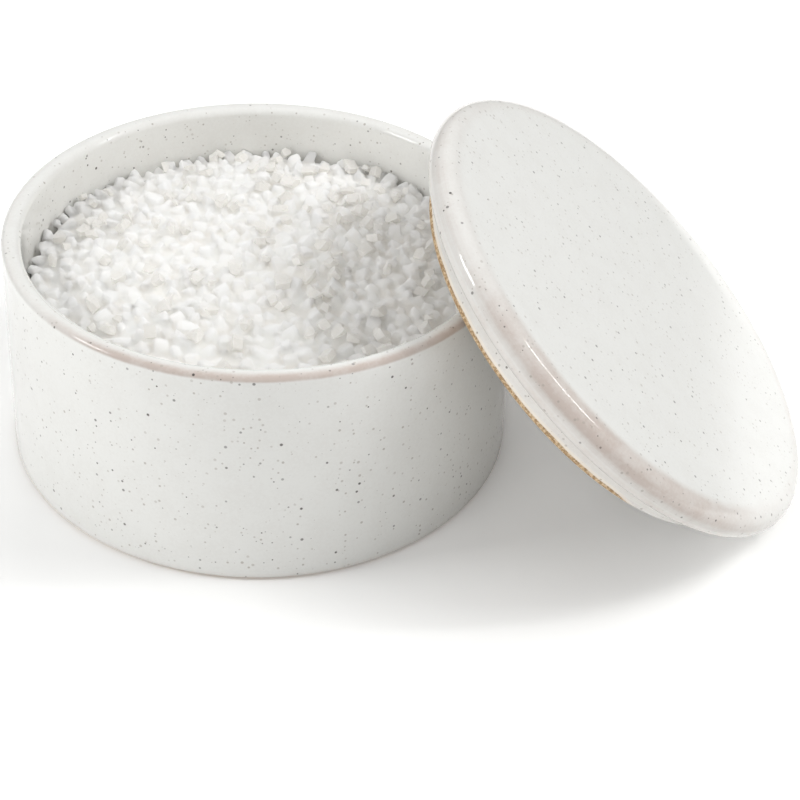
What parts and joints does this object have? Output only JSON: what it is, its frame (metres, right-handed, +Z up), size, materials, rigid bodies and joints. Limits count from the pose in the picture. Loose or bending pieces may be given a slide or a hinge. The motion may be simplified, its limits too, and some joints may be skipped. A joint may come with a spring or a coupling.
{
  "type": "ceramic salt cellar",
  "caption": "Round glazed stoneware salt cellar with its fitted lid taken off and leaning on the rim, filled with coarse salt for pinching.",
  "frame": {"origin": "centre of the bowl's flat foot, on the table", "axes": "+Z up along the bowl's axis, +X towards the side where the lid leans, +Y to the back of the picture"},
  "size_m": [0.1794, 0.1227, 0.076],
  "materials": {
    "white_glaze": "glossy white glaze with fine dark speckles over buff stoneware",
    "packed_salt": "matte, granular",
    "salt_crystal": "translucent white crystal"
  },
  "bodies": {
    "cellar": {"bowl": "white_glaze", "salt_bed": "packed_salt", "grain_cubes": "salt_crystal", "grain_slabs": "salt_crystal", "grain_bars": "salt_crystal", "grain_chips": "salt_crystal", "grain_wedges": "salt_crystal", "grain_nuggets": "salt_crystal"},
    "lid": {"lid": "white_glaze"}
  },
  "joints": [
    {"name": "lid_lift", "type": "slide", "parent": "cellar", "child": "lid", "axis": [0, 0, 1], "range_m": [0, 0.08]}
  ]
}
